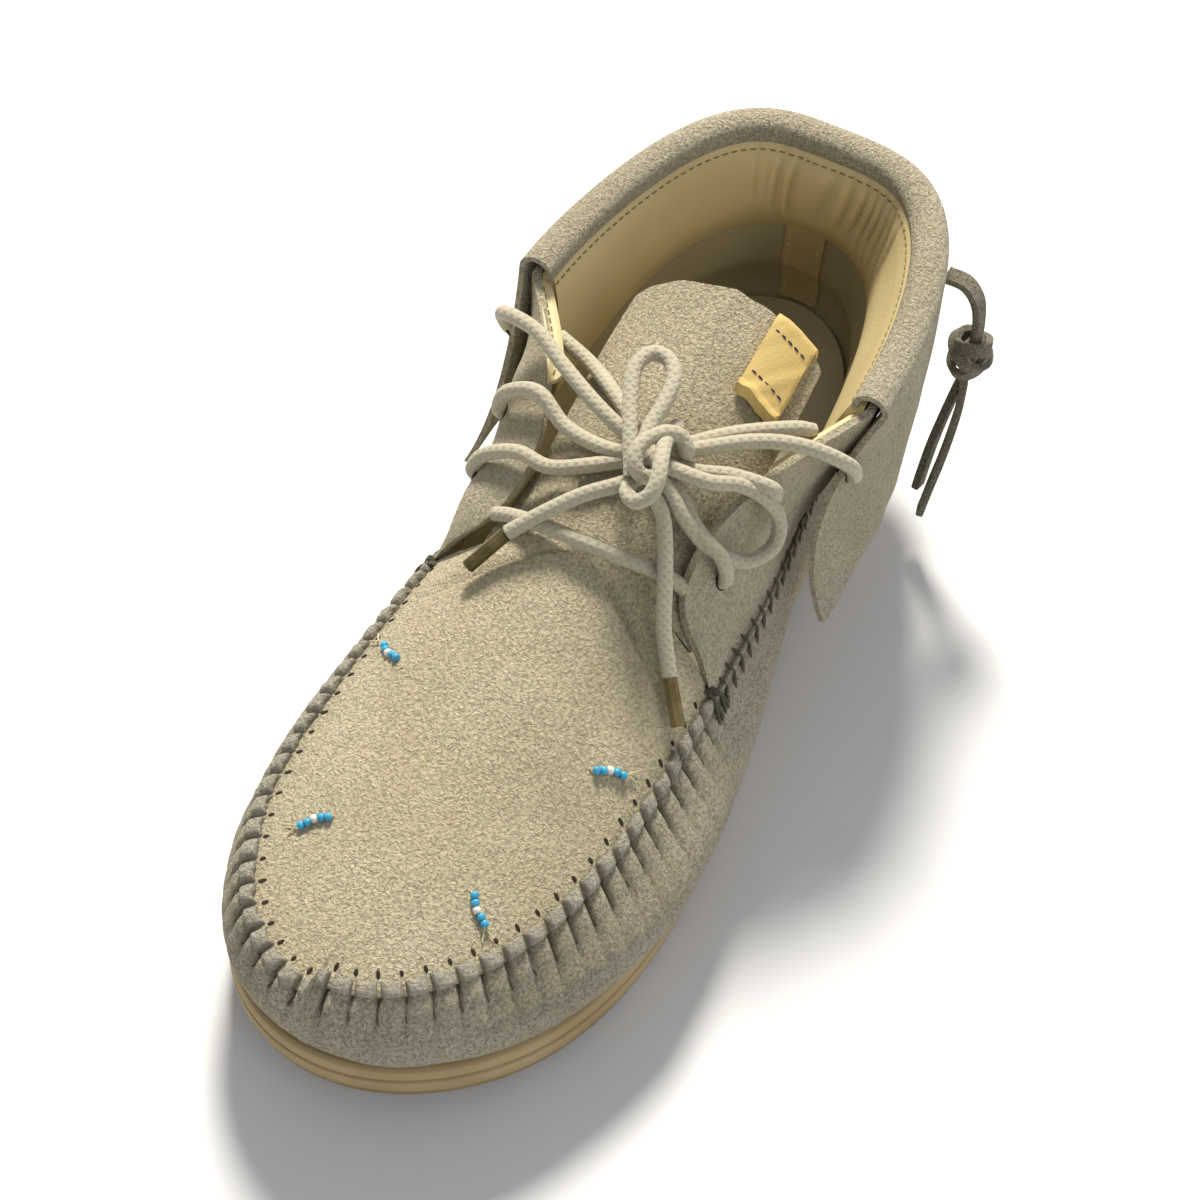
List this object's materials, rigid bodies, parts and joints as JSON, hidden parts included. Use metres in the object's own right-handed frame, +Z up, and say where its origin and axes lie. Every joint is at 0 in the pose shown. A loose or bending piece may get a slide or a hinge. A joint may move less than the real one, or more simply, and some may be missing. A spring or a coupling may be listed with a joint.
{
  "type": "moccasin boot",
  "caption": "Left moccasin boot in beige suede, laced over a tongue, with a turned-down cuff, a padded collar and a foam wedge sole.",
  "frame": {"origin": "centre of the bounding box at the floor", "axes": "+X to the toe, +Y to the outer side, +Z up"},
  "size_m": [0.2858, 0.1184, 0.1128],
  "materials": {
    "outsole_rubber": "matte",
    "midsole_foam": "matte",
    "insole_leather": "matte",
    "upper_suede": "suede",
    "tongue_suede": "suede",
    "lining_leather": "satin",
    "cuff_suede": "suede",
    "tag_leather": "satin",
    "keeper_suede": "suede",
    "thong_suede": "suede",
    "bars_cord": "waxed",
    "lowest_bar_cord": "waxed",
    "knot_cord": "waxed",
    "bow_loop_cord": "waxed",
    "upper_loop_cord": "waxed",
    "inner_end_cord": "waxed",
    "outer_end_cord": "waxed",
    "inner_aglet_metal": "aged",
    "outer_aglet_metal": "aged"
  },
  "bodies": {
    "root": {"outsole": "outsole_rubber", "midsole": "midsole_foam", "insole": "insole_leather", "upper": "upper_suede", "tongue": "tongue_suede", "collar_lining": "lining_leather", "cuff": "cuff_suede", "tongue_tag": "tag_leather", "lace_keeper": "keeper_suede", "heel_thong": "thong_suede", "lace_bars": "bars_cord", "lace_lowest_bar": "lowest_bar_cord", "lace_knot": "knot_cord", "lace_bow_loop": "bow_loop_cord", "lace_upper_loop": "upper_loop_cord", "lace_inner_end": "inner_end_cord", "lace_outer_end": "outer_end_cord", "inner_aglet": "inner_aglet_metal", "outer_aglet": "outer_aglet_metal"}
  },
  "joints": []
}
